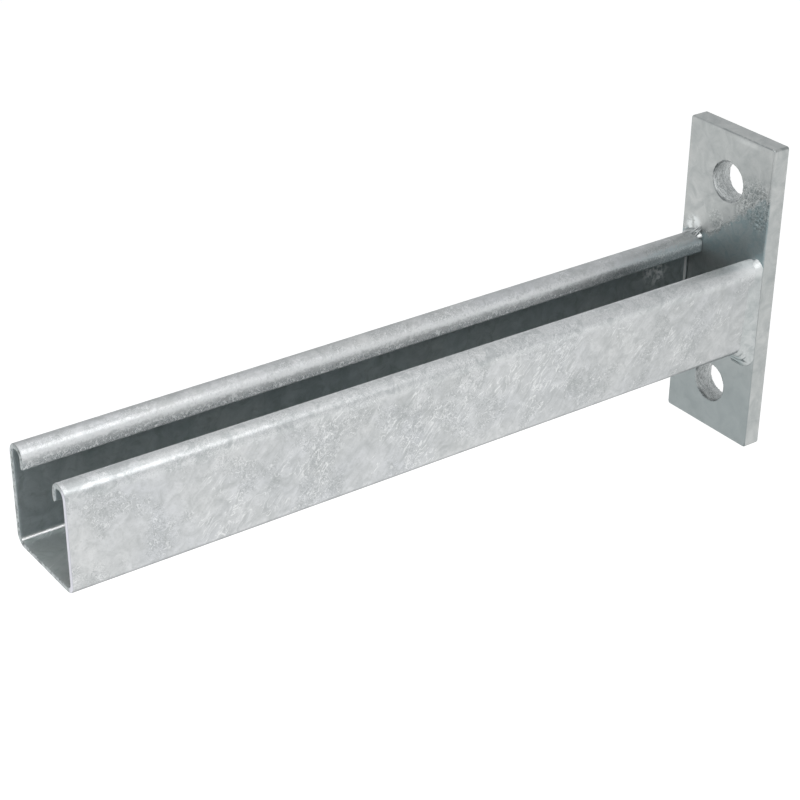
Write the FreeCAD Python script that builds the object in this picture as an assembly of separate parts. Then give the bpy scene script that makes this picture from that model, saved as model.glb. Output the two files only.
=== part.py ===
"""Cantilever strut arm: a slotted strut channel butted and welded to an upright back plate.

Millimetres. +Z is up, +X runs out from the wall along the arm, and +Y is to the right for
someone who faces the wall. The origin is on the rear face of the back plate, midway between
its two bolt holes.
"""
import FreeCAD, Part
import math
import os

# Strut channel: one folded sheet, open side up, whose two lips turn in and hook down
channel_width = 41.0
channel_height = 41.0
sheet = 2.0
shoulder_width = 9.5
shoulder_flat = 0.5
lip_straight = 3.5
back_bend_inner_radius = 2.5
arm_length = 305.0

# Back plate: a flat bar that stands upright against the wall and shows a ledge on each side of the channel
plate_thickness = 8.0
plate_ledge = 3.0
plate_corner_radius = 1.2
plate_edge_round = 0.5

# Bolt holes: punched from the rear, so each has a straight land and then breaks out wider towards the front
hole_radius = 7.0
hole_land = 3.0
hole_breakout = 1.3
upper_hole_above_channel = 27.0
lower_hole_below_channel = 22.0
hole_to_plate_end = 21.0

# Weld beads: one down each side of the channel, over its shoulder at the top and turned in under it
weld_leg_on_channel = 5.5
weld_under_leg_on_plate = 5.0
weld_under_length = 6.0
weld_crown = 0.35
right_weld_shoulder_wrap = 45.0
left_weld_shoulder_wrap = 85.0

# Worked out from the sizes above
half_width = channel_width / 2.0
half_slot = half_width - shoulder_width
shoulder_radius = (shoulder_width - shoulder_flat) / 2.0
back_bend_radius = back_bend_inner_radius + sheet
hole_spacing = lower_hole_below_channel + channel_height + upper_hole_above_channel
channel_bottom = lower_hole_below_channel - hole_spacing / 2.0
channel_top = channel_bottom + channel_height
lip_edge = channel_top - shoulder_radius - lip_straight
plate_width = channel_width + 2.0 * plate_ledge
plate_height = hole_spacing + 2.0 * hole_to_plate_end
weld_side_leg_on_plate = plate_ledge - plate_edge_round


def vec(x, y, z):
    return FreeCAD.Vector(x, y, z)


ALONG_ARM = vec(1, 0, 0)
RIGHT = vec(0, 1, 0)
DOWN = vec(0, 0, -1)


def right_half_bends():
    """Bends of the right half, from the back to the lip: centre, outer radius, first and last angle."""
    back = half_width - back_bend_radius
    wall = half_width - shoulder_radius
    lip = half_slot + shoulder_radius
    shoulder = channel_top - shoulder_radius
    return [
        (back, channel_bottom + back_bend_radius, back_bend_radius, -90.0, 0.0),
        (wall, shoulder, shoulder_radius, 0.0, 90.0),
        (lip, shoulder, shoulder_radius, 90.0, 180.0),
    ]


def arc_edge(centre_y, centre_z, radius, from_degrees, to_degrees):
    """Arc in the plane of the channel's inner end, where it meets the plate."""
    def at(degrees):
        a = math.radians(degrees)
        return vec(plate_thickness, centre_y + radius * math.cos(a), centre_z + radius * math.sin(a))
    middle = (from_degrees + to_degrees) / 2.0
    return Part.Arc(at(from_degrees), at(middle), at(to_degrees)).toShape()


def line_edge(start, end):
    return Part.LineSegment(start, end).toShape()


def chained(arcs, start, end):
    """Arcs in order, with the straight edges that join them, from the start point to the end point."""
    same_point = 1e-6
    edges = []
    here = start
    for arc in arcs:
        first = arc.valueAt(arc.FirstParameter)
        if here.distanceToPoint(first) > same_point:
            edges.append(line_edge(here, first))
        edges.append(arc)
        here = arc.valueAt(arc.LastParameter)
    edges.append(line_edge(here, end))
    return edges


def strut_channel():
    """Folded sheet: the right half's section is drawn out along the arm, then mirrored and joined."""
    bends = right_half_bends()
    outer = [arc_edge(y, z, r, start, end) for y, z, r, start, end in bends]
    inner = [arc_edge(y, z, r - sheet, end, start) for y, z, r, start, end in reversed(bends)]
    back_outside = vec(plate_thickness, 0, channel_bottom)
    back_inside = vec(plate_thickness, 0, channel_bottom + sheet)
    lip_outside = vec(plate_thickness, half_slot, lip_edge)
    lip_inside = vec(plate_thickness, half_slot + sheet, lip_edge)
    edges = chained(outer, back_outside, lip_outside)
    edges.append(line_edge(lip_outside, lip_inside))
    edges += chained(inner, lip_inside, back_inside)
    edges.append(line_edge(back_inside, back_outside))
    right = Part.Face(Part.Wire(edges)).extrude(ALONG_ARM * arm_length)
    left = right.mirror(vec(0, 0, 0), RIGHT)
    return right.fuse(left).removeSplitter()


def bolt_hole(z):
    """Space of one punched hole: a straight land from the rear face, then a cone that widens to the front."""
    land = Part.makeCylinder(hole_radius, hole_land, vec(0, 0, z), ALONG_ARM)
    cone_length = plate_thickness - hole_land
    front_radius = hole_radius + hole_breakout
    return land.fuse(Part.makeCone(hole_radius, front_radius, cone_length, vec(hole_land, 0, z), ALONG_ARM))


def back_plate():
    """Flat bar with lightly rounded corners and edges, and a bolt hole near each end."""
    lowest_corner = vec(0, -plate_width / 2.0, -plate_height / 2.0)
    bar = Part.makeBox(plate_thickness, plate_width, plate_height, lowest_corner)
    corners = [e for e in bar.Edges if e.BoundBox.XLength > plate_thickness / 2.0]
    bar = bar.makeFillet(plate_corner_radius, corners)
    rims = [e for e in bar.Edges if e.BoundBox.XLength < plate_thickness / 2.0]
    bar = bar.makeFillet(plate_edge_round, rims)
    for z in (-hole_spacing / 2.0, hole_spacing / 2.0):
        bar = bar.cut(bolt_hole(z))
    return bar


def bead_face_arc(leg_on_plate, origin, outward):
    """Slightly full face of a bead, as an arc from its toe on the channel to its toe on the plate."""
    toe_on_channel = origin + ALONG_ARM * weld_leg_on_channel
    toe_on_plate = origin + outward * leg_on_plate
    square_to_face = (ALONG_ARM * leg_on_plate + outward * weld_leg_on_channel).normalize()
    crown = (toe_on_channel + toe_on_plate) * 0.5 + square_to_face * weld_crown
    return toe_on_channel, toe_on_plate, Part.Arc(toe_on_channel, crown, toe_on_plate).toShape()


def bead_section(leg_on_plate, origin, outward):
    """Section of a bead at a point of the joint, with a root that reaches halfway into the sheet."""
    toe_on_channel, toe_on_plate, face = bead_face_arc(leg_on_plate, origin, outward)
    into_sheet = outward * (-sheet / 2.0)
    root = origin + into_sheet
    root_under_toe = toe_on_channel + into_sheet
    edges = [
        face,
        line_edge(toe_on_plate, root),
        line_edge(root, root_under_toe),
        line_edge(root_under_toe, toe_on_channel),
    ]
    return Part.Face(Part.Wire(edges))


def bead_end(leg_on_plate, origin, outward):
    """Rounded end of a bead: its section turned once about the line where it starts on the channel."""
    toe_on_channel, toe_on_plate, face = bead_face_arc(leg_on_plate, origin, outward)
    edges = [face, line_edge(toe_on_plate, origin), line_edge(origin, toe_on_channel)]
    return Part.Face(Part.Wire(edges)).revolve(origin, ALONG_ARM, 360)


def right_weld(shoulder_wrap, channel, plate):
    """Bead down the right wall, over the shoulder by shoulder_wrap degrees, round the back bend and under.

    It is built through the channel's sheet, and then the channel and the plate are cut from it, so it
    meets both face to face. What is left inside the channel is dropped.
    """
    back_bend = vec(plate_thickness, half_width - back_bend_radius, channel_bottom + back_bend_radius)
    shoulder_bend = vec(plate_thickness, half_width - shoulder_radius, channel_top - shoulder_radius)
    wall_foot = back_bend + RIGHT * back_bend_radius
    wall_head = shoulder_bend + RIGHT * shoulder_radius
    under_start = back_bend + DOWN * back_bend_radius
    under_run = RIGHT * -weld_under_length
    wrap = math.radians(shoulder_wrap)
    end_outward = vec(0, math.cos(wrap), math.sin(wrap))
    wall_section = bead_section(weld_side_leg_on_plate, wall_foot, RIGHT)
    head_section = bead_section(weld_side_leg_on_plate, wall_head, RIGHT)
    under_section = bead_section(weld_under_leg_on_plate, under_start, DOWN)
    pieces = [
        wall_section.extrude(wall_head - wall_foot),
        wall_section.revolve(back_bend, ALONG_ARM, -90),
        head_section.revolve(shoulder_bend, ALONG_ARM, shoulder_wrap),
        bead_end(weld_side_leg_on_plate, shoulder_bend + end_outward * shoulder_radius, end_outward),
        under_section.extrude(under_run),
        bead_end(weld_under_leg_on_plate, under_start, DOWN),
        bead_end(weld_under_leg_on_plate, under_start + under_run, DOWN),
    ]
    bead = pieces[0].multiFuse(pieces[1:]).cut(channel).cut(plate)
    return max(bead.Solids, key=lambda solid: solid.Volume)


def left_weld(shoulder_wrap, channel, plate):
    """Bead on the other side: the right one in a mirror, with its own wrap over the shoulder."""
    return right_weld(shoulder_wrap, channel, plate).mirror(vec(0, 0, 0), RIGHT)


def build():
    channel = strut_channel()
    plate = back_plate()
    parts = {
        "strut_channel": channel,
        "back_plate": plate,
        "right_weld": right_weld(right_weld_shoulder_wrap, channel, plate),
        "left_weld": left_weld(left_weld_shoulder_wrap, channel, plate),
    }
    os.makedirs("parts", exist_ok=True)
    for name, shape in parts.items():
        shape.exportStep("parts/" + name + ".step")
        print(name, "solids", len(shape.Solids), "valid", shape.isValid(), "volume", round(shape.Volume, 1))


build()
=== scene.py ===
import math

import bmesh
import bpy
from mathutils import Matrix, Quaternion, Vector


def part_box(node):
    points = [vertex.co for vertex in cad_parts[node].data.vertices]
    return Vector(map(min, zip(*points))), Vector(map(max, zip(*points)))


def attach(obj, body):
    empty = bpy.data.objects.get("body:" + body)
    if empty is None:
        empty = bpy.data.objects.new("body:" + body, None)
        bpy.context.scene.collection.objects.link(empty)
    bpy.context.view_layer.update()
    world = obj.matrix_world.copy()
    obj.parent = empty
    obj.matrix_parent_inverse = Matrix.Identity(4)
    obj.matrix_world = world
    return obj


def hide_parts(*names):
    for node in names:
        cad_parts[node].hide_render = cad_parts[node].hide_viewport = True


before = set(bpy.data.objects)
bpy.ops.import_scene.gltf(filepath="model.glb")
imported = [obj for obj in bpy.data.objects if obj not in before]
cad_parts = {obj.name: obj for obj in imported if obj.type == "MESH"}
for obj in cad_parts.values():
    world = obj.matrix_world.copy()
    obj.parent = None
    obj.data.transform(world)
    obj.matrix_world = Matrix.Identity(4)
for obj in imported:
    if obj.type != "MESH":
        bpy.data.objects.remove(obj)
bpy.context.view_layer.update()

# Cantilever strut arm, hot-dip galvanised after welding. Metres; the arm runs out along +X, +Z is up,
# and +Y is the side that the photograph shows.
MM = 0.001
SEED = 7

# What the frame gives: the plate's box and the channel's outside
plate_low, plate_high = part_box("back_plate")
channel_low, channel_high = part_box("strut_channel")
plate_face = plate_high.x
arm_end = channel_high.x
half_width = channel_high.y
channel_bottom = channel_low.z
channel_top = channel_high.z

# Rolled section of the strut
sheet = 2.0 * MM
shoulder_radius = 4.5 * MM
shoulder_width = 9.5 * MM
lip_straight = 3.5 * MM
half_slot = half_width - shoulder_width
lip_edge = channel_top - shoulder_radius - lip_straight

# Punched bolt holes in the plate: how wide they are where they break out at the front, and how high
hole_front_radius = 8.3 * MM
upper_hole = 45.0 * MM
lower_hole = -45.0 * MM

# The near wall isn't quite square to the back: the weld drew its top out at the plate, and it springs
# in a little at the free end
lean_at_plate = 2.4 * MM
lean_at_free_end = -0.6 * MM

# Camera: where the photograph was taken from, and how it was held
CAMERA_PLACE = Vector((0.54824, 0.52985, 0.35940))
CAMERA_AZIMUTH = 144.265
CAMERA_ELEVATION = 29.093
CAMERA_ROLL = 0.586
CAMERA_LENS_MM = 91.33
SENSOR_MM = 36.0

# Floor: how far it lies under the plate, and how far it reaches
FLOOR_DROP = 0.45
FLOOR_REACH = 6.0

# How strongly the surroundings light the arm, from overhead and from the horizon, and how much the floor
# glows for the camera and in mirror images, so that it reads as white
SKY_STRENGTH = 0.75
WALL_STRENGTH = 1.0
FLOOR_GLOW = 0.36


def linear(hex_colour):
    """sRGB hex to the linear values that shaders take."""
    values = [int(hex_colour[i:i + 2], 16) / 255.0 for i in (1, 3, 5)]
    return [v / 12.92 if v <= 0.04045 else ((v + 0.055) / 1.055) ** 2.4 for v in values] + [1.0]


def add(tree, kind, settings=None, feeds=None):
    """Adds one node with its own settings, and sets or links its inputs, given by name or by number."""
    node = tree.nodes.new(kind)
    for name, value in (settings or {}).items():
        setattr(node, name, value)
    for key, value in (feeds or {}).items():
        if isinstance(key, int):
            socket = node.inputs[key]
        else:
            socket = next(s for s in node.inputs if s.name == key and s.enabled)
        for one in value if isinstance(value, list) and isinstance(value[0], bpy.types.Node) else [value]:
            if isinstance(one, bpy.types.Node):
                one = next(s for s in one.outputs if s.enabled)
            if isinstance(one, bpy.types.NodeSocket):
                tree.links.new(one, socket)
            else:
                socket.default_value = one
    return node


def band(tree, value, low, high, at_low=0.0, at_high=1.0):
    """A soft change from one amount to another while a value goes from low to high."""
    return add(tree, "ShaderNodeMapRange", {"interpolation_type": "SMOOTHSTEP"}, {
        "Value": value, "From Min": low, "From Max": high, "To Min": at_low, "To Max": at_high})


def product(tree, *factors):
    """All the factors multiplied together."""
    result = factors[0]
    for factor in factors[1:]:
        result = add(tree, "ShaderNodeMath", {"operation": "MULTIPLY"}, {0: result, 1: factor})
    return result


def stained(tree, colour, stain, *shares):
    """The colour drawn towards a stain's colour, as far as all the shares together say."""
    return add(tree, "ShaderNodeMix", {"data_type": "RGBA"}, {
        "Factor": product(tree, *shares), "A": colour, "B": linear(stain)})


def around(tree, place, centre, all_within, none_beyond, most=1.0):
    """As far as a place is near a centre: the most within the first reach, nothing beyond the second."""
    distance = add(tree, "ShaderNodeVectorMath", {"operation": "DISTANCE"}, {0: place, 1: centre})
    return band(tree, distance.outputs["Value"], all_within, none_beyond, most, 0.0)


def shape_tree(name, sizes, base=False):
    """A geometry tree with one named input for each size, and the sockets that give them."""
    tree = bpy.data.node_groups.new(name, "GeometryNodeTree")
    if base:
        tree.interface.new_socket("Base", in_out="INPUT", socket_type="NodeSocketGeometry")
    for label, value in sizes.items():
        socket_type = "NodeSocketInt" if isinstance(value, int) else "NodeSocketFloat"
        tree.interface.new_socket(label, in_out="INPUT", socket_type=socket_type)
    tree.interface.new_socket("Mesh", in_out="OUTPUT", socket_type="NodeSocketGeometry")
    return tree, tree.nodes.new("NodeGroupInput").outputs


def finish_tree(tree, mesh, materials):
    """Ends a tree in real geometry with its materials: the first covers all, the rest a selection each."""
    mesh = add(tree, "GeometryNodeRealizeInstances", None, {"Geometry": mesh})
    for material, selection in materials:
        feeds = {"Geometry": mesh, "Material": material}
        if selection is not None:
            feeds["Selection"] = selection
        mesh = add(tree, "GeometryNodeSetMaterial", None, feeds)
    smooth = add(tree, "GeometryNodeSetShadeSmooth", None, {"Geometry": mesh, "Shade Smooth": True})
    add(tree, "NodeGroupOutput", None, {"Mesh": smooth})


def plain_mesh(name, tree, sizes, base=None):
    """Runs a tree with its sizes and keeps the result as a plain mesh at the origin."""
    piece = bpy.data.objects.new(name, base or bpy.data.meshes.new(name))
    bpy.context.scene.collection.objects.link(piece)
    modifier = piece.modifiers.new("shape", "NODES")
    modifier.node_group = tree
    for socket in tree.interface.items_tree:
        if socket.in_out == "INPUT" and socket.name in sizes:
            modifier[socket.identifier] = sizes[socket.name]
    graph = bpy.context.evaluated_depsgraph_get()
    graph.update()
    made = bpy.data.meshes.new_from_object(piece.evaluated_get(graph))
    for index in reversed(range(len(made.materials))):
        if made.materials[index] is None:
            made.materials.pop(index=index)
    piece.modifiers.clear()
    piece.data = made
    made.name = name
    return piece


def near_wall_lean(tree, place, size):
    """How far a near-side point is drawn off the true section: nothing at the back, most at the top."""
    apart = add(tree, "ShaderNodeSeparateXYZ", None, {0: place})
    height = add(tree, "ShaderNodeMapRange", None, {
        "Value": apart.outputs["Z"], "From Min": size["Bottom"], "From Max": size["Top"]})
    along = add(tree, "ShaderNodeMapRange", None, {
        "Value": apart.outputs["X"], "From Min": size["Plate face"], "From Max": size["Arm end"]})
    lean = add(tree, "ShaderNodeMix", None, {
        "Factor": along, "A": size["Lean at plate"], "B": size["Lean at free end"]})
    offset = add(tree, "ShaderNodeCombineXYZ", None, {"Y": lean})
    near = add(tree, "FunctionNodeCompare", {"operation": "GREATER_THAN"}, {
        "A": apart.outputs["Y"], "B": 0.0})
    share = product(tree, height, near)
    return add(tree, "ShaderNodeVectorMath", {"operation": "SCALE"}, {0: offset, "Scale": share})


def bent_line(tree, points, radius, arc_points):
    """A line in the section's plane through the given (y, z) corners, each rounded to the radius."""
    corner = add(tree, "GeometryNodeIndexSwitch", {"data_type": "VECTOR"}, {
        "Index": add(tree, "GeometryNodeInputIndex")})
    while len(corner.index_switch_items) < len(points):
        corner.index_switch_items.new()
    for number, (y, z) in enumerate(points):
        point = add(tree, "ShaderNodeCombineXYZ", None, {"Y": y, "Z": z})
        tree.links.new(point.outputs[0], corner.inputs[number + 1])
    row = add(tree, "GeometryNodeMeshLine", None, {"Count": len(points)})
    line = add(tree, "GeometryNodeMeshToCurve", None, {"Mesh": row})
    corners = add(tree, "GeometryNodeSetPosition", None, {"Geometry": line, "Position": corner})
    return add(tree, "GeometryNodeFilletCurve", {"mode": "POLY"}, {
        "Curve": corners, "Count": arc_points, "Radius": radius})


def subdivided(tree, curve, step):
    """Cuts each straight run of a curve into pieces about one step long, and leaves short ones whole."""
    place = add(tree, "GeometryNodeInputPosition")
    following = add(tree, "GeometryNodeOffsetPointInCurve", None, {"Offset": 1}).outputs["Point Index"]
    next_place = add(tree, "GeometryNodeFieldAtIndex", {"data_type": "FLOAT_VECTOR"}, {
        "Value": place, "Index": following})
    run = add(tree, "ShaderNodeVectorMath", {"operation": "DISTANCE"}, {0: place, 1: next_place})
    pieces = add(tree, "ShaderNodeMath", {"operation": "DIVIDE"}, {0: run.outputs["Value"], 1: step})
    cuts = add(tree, "FunctionNodeFloatToInt", {"rounding_mode": "FLOOR"}, {0: pieces})
    return add(tree, "GeometryNodeSubdivideCurve", None, {"Curve": curve, "Cuts": cuts})


def captured(tree, geometry, fields):
    """Keeps fields on a curve's points, so that the mesh swept from it can still read them."""
    node = add(tree, "GeometryNodeCaptureAttribute", {"domain": "POINT"}, {"Geometry": geometry})
    for label, (data_type, field) in fields.items():
        node.capture_items.new(data_type, label)
        tree.links.new(field, node.inputs[label])
    return node


# The channel's skin: how long its waves are, how coarse its lip edges, and how deep its faces reach
ZINC_WAVE_LENGTH = 14.0 * MM
LIP_GRIT_LENGTH = 2.2 * MM
ROUGH_LIP_REACH = 2.4 * MM
LIP_EDGE_SHARE = 0.55
SKIN_SHARE = 0.46

CHANNEL_SIZES = {
    "Half width": half_width,
    "Bottom": channel_bottom,
    "Top": channel_top,
    "Half slot": half_slot,
    "Lip edge": lip_edge,
    "Sheet": sheet,
    "Bend radius": shoulder_radius - sheet / 2.0,
    "Plate face": plate_face,
    "Arm end": arm_end,
    "Cut edge round": 0.35 * MM,
    "Lip edge round": 0.6 * MM,
    "Mesh step": 1.2 * MM,
    "Zinc wave": 0.05 * MM,
    "Lip roughness": 0.3 * MM,
    "Lean at plate": lean_at_plate,
    "Lean at free end": lean_at_free_end,
    "Seed": SEED,
}


def folded_line(tree, size):
    """The section's line at mid-thickness, from the far lip's edge round the back to the near lip's."""
    half_sheet = add(tree, "ShaderNodeMath", {"operation": "DIVIDE"}, {0: size["Sheet"], 1: 2.0})
    lip = add(tree, "ShaderNodeMath", {"operation": "ADD"}, {0: size["Half slot"], 1: half_sheet})
    wall = add(tree, "ShaderNodeMath", {"operation": "SUBTRACT"}, {0: size["Half width"], 1: half_sheet})
    top = add(tree, "ShaderNodeMath", {"operation": "SUBTRACT"}, {0: size["Top"], 1: half_sheet})
    bottom = add(tree, "ShaderNodeMath", {"operation": "ADD"}, {0: size["Bottom"], 1: half_sheet})
    far_lip = product(tree, lip, -1.0)
    far_wall = product(tree, wall, -1.0)
    corners = [
        (far_lip, size["Lip edge"]), (far_lip, top), (far_wall, top), (far_wall, bottom),
        (wall, bottom), (wall, top), (lip, top), (lip, size["Lip edge"]),
    ]
    line = subdivided(tree, bent_line(tree, corners, size["Bend radius"], 8), size["Mesh step"])
    edges = add(tree, "GeometryNodeCurveEndpointSelection", None, {"Start Size": 1, "End Size": 2})
    extra_cuts = product(tree, edges, 3.0)
    return add(tree, "GeometryNodeSubdivideCurve", None, {"Curve": line, "Cuts": extra_cuts})


def strut_channel(outside, inside, cut_edge):
    """The rolled strut: a strip carried along its folded line, which zinc rounds and waves a little."""
    tree, size = shape_tree("rolled_strut", CHANNEL_SIZES)
    fold_line = folded_line(tree, size)
    length_so_far = add(tree, "GeometryNodeSplineParameter").outputs["Length"]
    whole_length = add(tree, "GeometryNodeSplineLength").outputs["Length"]
    left = add(tree, "ShaderNodeMath", {"operation": "SUBTRACT"}, {0: whole_length, 1: length_so_far})
    from_lip = add(tree, "ShaderNodeMath", {"operation": "MINIMUM"}, {0: length_so_far, 1: left})
    square = add(tree, "ShaderNodeVectorMath", {"operation": "CROSS_PRODUCT"}, {
        0: add(tree, "GeometryNodeInputTangent"), 1: (1.0, 0.0, 0.0)})
    path = captured(tree, fold_line, {
        "Middle": ("VECTOR", add(tree, "GeometryNodeInputPosition").outputs[0]),
        "Outward": ("VECTOR", square.outputs[0]),
        "From lip": ("FLOAT", from_lip.outputs[0]),
    })
    arm = add(tree, "ShaderNodeMath", {"operation": "SUBTRACT"}, {
        0: size["Arm end"], 1: size["Plate face"]})
    strip = add(tree, "GeometryNodeCurvePrimitiveQuadrilateral", None, {
        "Width": arm, "Height": size["Sheet"]})
    rounded = add(tree, "GeometryNodeFilletCurve", {"mode": "POLY"}, {
        "Curve": strip, "Count": 3, "Radius": size["Cut edge round"]})
    fine = subdivided(tree, rounded, size["Mesh step"])
    profile = captured(tree, fine, {
        "In strip": ("VECTOR", add(tree, "GeometryNodeInputPosition").outputs[0])})
    swept = add(tree, "GeometryNodeCurveToMesh", None, {
        "Curve": path.outputs["Geometry"], "Profile Curve": profile.outputs["Geometry"], "Fill Caps": True})

    in_strip = add(tree, "ShaderNodeSeparateXYZ", None, {0: profile.outputs["In strip"]})
    through = in_strip.outputs["Y"]
    thinning = band(tree, path.outputs["From lip"], 0.0, size["Lip edge round"], LIP_EDGE_SHARE, 1.0)
    depth = product(tree, through, thinning)
    outward = path.outputs["Outward"]
    skin = add(tree, "ShaderNodeVectorMath", {"operation": "SCALE"}, {0: outward, "Scale": depth})
    centre = add(tree, "ShaderNodeMath", {"operation": "MULTIPLY_ADD"}, {
        0: arm, 1: 0.5, 2: size["Plate face"]})
    along = add(tree, "ShaderNodeMath", {"operation": "ADD"}, {0: in_strip.outputs["X"], 1: centre})
    out_along = add(tree, "ShaderNodeCombineXYZ", None, {"X": along})
    section_place = add(tree, "ShaderNodeVectorMath", {"operation": "ADD"}, {
        0: path.outputs["Middle"], 1: skin})
    true_place = add(tree, "ShaderNodeVectorMath", {"operation": "ADD"}, {0: section_place, 1: out_along})

    wave = add(tree, "ShaderNodeTexNoise", {"noise_dimensions": "4D"}, {
        "Vector": true_place, "W": size["Seed"], "Scale": 1.0 / ZINC_WAVE_LENGTH, "Detail": 2.0})
    skin_side = add(tree, "ShaderNodeMath", {"operation": "SIGN"}, {0: through})
    swell = add(tree, "ShaderNodeMapRange", None, {"Value": wave, "To Min": -1.0, "To Max": 0.0})
    swell_height = product(tree, swell, size["Zinc wave"])
    swell_out = product(tree, swell_height, skin_side)
    waved = add(tree, "ShaderNodeVectorMath", {"operation": "SCALE"}, {0: outward, "Scale": swell_out})
    grit = add(tree, "ShaderNodeTexNoise", {"noise_dimensions": "4D"}, {
        "Vector": true_place, "W": size["Seed"], "Scale": 1.0 / LIP_GRIT_LENGTH, "Detail": 2.0})
    lip_share = add(tree, "ShaderNodeMapRange", None, {
        "Value": path.outputs["From lip"], "From Max": ROUGH_LIP_REACH, "To Min": 1.0, "To Max": 0.0})
    lip_grit = product(tree, lip_share, size["Lip roughness"])
    lip_rise = product(tree, lip_grit, grit)
    rough_lip = add(tree, "ShaderNodeCombineXYZ", None, {"Z": lip_rise})
    zinc = add(tree, "ShaderNodeVectorMath", {"operation": "ADD"}, {0: waved, 1: rough_lip})
    leaning = near_wall_lean(tree, true_place, size)
    moved = add(tree, "ShaderNodeVectorMath", {"operation": "ADD"}, {0: zinc, 1: leaning})
    place = add(tree, "ShaderNodeVectorMath", {"operation": "ADD"}, {0: true_place, 1: moved})
    mesh = add(tree, "GeometryNodeSetPosition", None, {"Geometry": swept, "Position": place})
    off_middle = add(tree, "ShaderNodeMath", {"operation": "ABSOLUTE"}, {0: through})
    rim = add(tree, "ShaderNodeMath", {"operation": "DIVIDE"}, {0: off_middle, 1: size["Sheet"]})
    mesh = add(tree, "GeometryNodeStoreNamedAttribute", {"data_type": "FLOAT", "domain": "POINT"}, {
        "Geometry": mesh, "Name": "rim", "Value": rim})

    inner_skin = product(tree, size["Sheet"], -SKIN_SHARE)
    outer_skin = product(tree, size["Sheet"], SKIN_SHARE)
    is_inside = add(tree, "FunctionNodeCompare", {"operation": "LESS_THAN"}, {
        "A": through, "B": inner_skin})
    is_outside = add(tree, "FunctionNodeCompare", {"operation": "GREATER_THAN"}, {
        "A": through, "B": outer_skin})
    finish_tree(tree, mesh, [(cut_edge, None), (outside, is_outside), (inside, is_inside)])
    return plain_mesh("galvanised_channel", tree, CHANNEL_SIZES)


# The beads' skin: how long its lumps are, and where the gaps between its runs lie across its face
LUMP_LENGTH = 2.6 * MM
GROOVE_PLACES = (0.34, 0.62)
GROOVE_REACH = 0.11


def weld_sizes(shoulder_wrap, side, lean, slimming, crown, end_length):
    """Sizes of one bead: its lap over the shoulder in degrees, its side, how far it leans and thins."""
    quarter = shoulder_radius * math.pi / 2.0
    flat = shoulder_width - 2.0 * shoulder_radius
    lap = shoulder_radius * math.radians(shoulder_wrap) + (flat if shoulder_wrap > 90.0 else 0.0)
    return {
        "Half width": half_width,
        "Bottom": channel_bottom,
        "Top": channel_top,
        "Bend radius": shoulder_radius,
        "Plate face": plate_face,
        "Arm end": arm_end,
        "Start": 2.0 * quarter + flat - lap,
        "Half slot": half_slot,
        "Slimming": slimming,
        "Slim until": 7.0 * MM,
        "Full from": 13.0 * MM,
        "Side": side,
        "Lean at plate": lean * lean_at_plate,
        "Lean at free end": lean * lean_at_free_end,
        "Under length": 6.0 * MM,
        "Leg on channel": 5.5 * MM,
        "Leg on plate": 2.6 * MM,
        "Leg under": 7.0 * MM,
        "Crown": crown,
        "Sink": 0.5 * MM,
        "End length": end_length,
        "Mesh step": 0.35 * MM,
        "Lumps": 0.14 * MM,
        "Groove depth": 0.6 * MM,
        "Furthest out": plate_high.y - 0.1 * MM,
    }


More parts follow.
